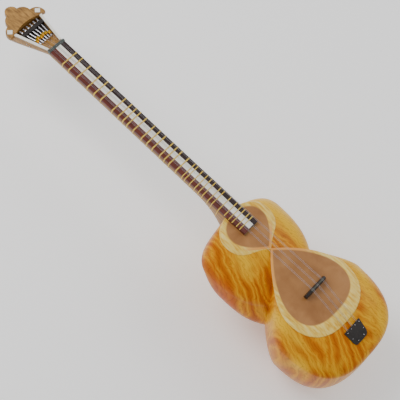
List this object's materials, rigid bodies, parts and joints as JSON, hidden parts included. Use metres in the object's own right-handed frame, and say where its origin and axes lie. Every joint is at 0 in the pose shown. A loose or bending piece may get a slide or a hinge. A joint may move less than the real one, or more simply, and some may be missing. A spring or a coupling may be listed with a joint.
{
  "type": "persian tar",
  "caption": "Long-necked plucked lute with a waisted double bowl, skin faces, a fretted neck and screw tuners in the head.",
  "frame": {"origin": "middle of the footprint at the lowest point of the bowl's back", "axes": "+Y along the neck towards the head, +Z out of the fingerboard, +X across the strings"},
  "size_m": [0.2316, 0.9364, 0.2188],
  "materials": {
    "mulberry": "gloss",
    "neck_wood": "satin",
    "dark_wood": "satin",
    "black": "satin",
    "skin": "satin",
    "bone": "satin",
    "horn": "satin",
    "steel": "satin",
    "brass": "satin"
  },
  "bodies": {
    "instrument": {"bowl_left": "mulberry", "bowl_right": "mulberry", "skin_large": "skin", "skin_small": "skin", "neck": "neck_wood", "fingerboard": "dark_wood", "bone_strip": "bone", "nut": "horn", "head_box": "neck_wood", "head_bone_left": "bone", "head_bone_right": "bone", "crest_plate": "neck_wood", "crest_inlay_left": "bone", "crest_inlay_right": "bone", "tuner_bed": "black", "bridge": "horn", "bridge_saddle": "bone", "tailpiece": "black", "tailpiece_pin_1": "steel", "tailpiece_pin_2": "steel", "tailpiece_pin_3": "steel", "tailpiece_pin_4": "steel", "tailpiece_pin_5": "steel", "tailpiece_pin_6": "steel", "tailpiece_pin_7": "steel", "tailpiece_pin_8": "steel", "bed_screw_1": "steel", "bed_screw_2": "steel", "bed_screw_3": "steel", "bed_screw_4": "steel", "bed_screw_5": "steel", "bed_screw_6": "steel", "string_1": "steel", "string_2": "steel", "string_3": "steel", "string_4": "steel", "string_5": "steel", "string_6": "steel", "string_end_1": "steel", "string_end_2": "steel", "string_end_3": "steel", "string_end_4": "steel", "string_end_5": "steel", "string_end_6": "steel"},
    "screw_1": {"tuner_screw_1": "steel"},
    "hook_1": {"string_hook_1": "brass"},
    "screw_2": {"tuner_screw_2": "steel"},
    "hook_2": {"string_hook_2": "brass"},
    "screw_3": {"tuner_screw_3": "steel"},
    "hook_3": {"string_hook_3": "brass"},
    "screw_4": {"tuner_screw_4": "steel"},
    "hook_4": {"string_hook_4": "brass"},
    "screw_5": {"tuner_screw_5": "steel"},
    "hook_5": {"string_hook_5": "brass"},
    "screw_6": {"tuner_screw_6": "steel"},
    "hook_6": {"string_hook_6": "brass"}
  },
  "joints": [
    {"name": "screw_1_turn", "type": "hinge", "parent": "instrument", "child": "screw_1", "pos_m": [-0.02036, 0.40434, 0.18515], "axis": [0.1548, -0.9645, 0.2138], "range_deg": [-1830, 4350]},
    {"name": "screw_2_turn", "type": "hinge", "parent": "instrument", "child": "screw_2", "pos_m": [-0.01222, 0.40434, 0.18515], "axis": [0.0936, -0.972, 0.2155], "range_deg": [-1830, 4350]},
    {"name": "screw_3_turn", "type": "hinge", "parent": "instrument", "child": "screw_3", "pos_m": [-0.00407, 0.40434, 0.18515], "axis": [0.0313, -0.9758, 0.2163], "range_deg": [-1830, 4350]},
    {"name": "screw_4_turn", "type": "hinge", "parent": "instrument", "child": "screw_4", "pos_m": [0.00407, 0.40434, 0.18515], "axis": [-0.0313, -0.9758, 0.2163], "range_deg": [-1830, 4350]},
    {"name": "screw_5_turn", "type": "hinge", "parent": "instrument", "child": "screw_5", "pos_m": [0.01222, 0.40434, 0.18515], "axis": [-0.0936, -0.972, 0.2155], "range_deg": [-1830, 4350]},
    {"name": "screw_6_turn", "type": "hinge", "parent": "instrument", "child": "screw_6", "pos_m": [0.02036, 0.40434, 0.18515], "axis": [-0.1548, -0.9645, 0.2138], "range_deg": [-1830, 4350]},
    {"name": "hook_1_slide", "type": "slide", "parent": "instrument", "child": "hook_1", "axis": [-0.1548, 0.9645, -0.2138], "range_m": [-0.005, 0.012], "deforming": ["string_end_1"]},
    {"name": "hook_2_slide", "type": "slide", "parent": "instrument", "child": "hook_2", "axis": [-0.0936, 0.972, -0.2155], "range_m": [-0.005, 0.012], "deforming": ["string_end_2"]},
    {"name": "hook_3_slide", "type": "slide", "parent": "instrument", "child": "hook_3", "axis": [-0.0313, 0.9758, -0.2163], "range_m": [-0.005, 0.012], "deforming": ["string_end_3"]},
    {"name": "hook_4_slide", "type": "slide", "parent": "instrument", "child": "hook_4", "axis": [0.0313, 0.9758, -0.2163], "range_m": [-0.005, 0.012], "deforming": ["string_end_4"]},
    {"name": "hook_5_slide", "type": "slide", "parent": "instrument", "child": "hook_5", "axis": [0.0936, 0.972, -0.2155], "range_m": [-0.005, 0.012], "deforming": ["string_end_5"]},
    {"name": "hook_6_slide", "type": "slide", "parent": "instrument", "child": "hook_6", "axis": [0.1548, 0.9645, -0.2138], "range_m": [-0.005, 0.012], "deforming": ["string_end_6"]}
  ],
  "couplings": [
    {"joint": "screw_1_turn", "follows": "hook_1_slide", "rad_per_m": 6283.2},
    {"joint": "screw_2_turn", "follows": "hook_2_slide", "rad_per_m": 6283.2},
    {"joint": "screw_3_turn", "follows": "hook_3_slide", "rad_per_m": 6283.2},
    {"joint": "screw_4_turn", "follows": "hook_4_slide", "rad_per_m": 6283.2},
    {"joint": "screw_5_turn", "follows": "hook_5_slide", "rad_per_m": 6283.2},
    {"joint": "screw_6_turn", "follows": "hook_6_slide", "rad_per_m": 6283.2}
  ]
}
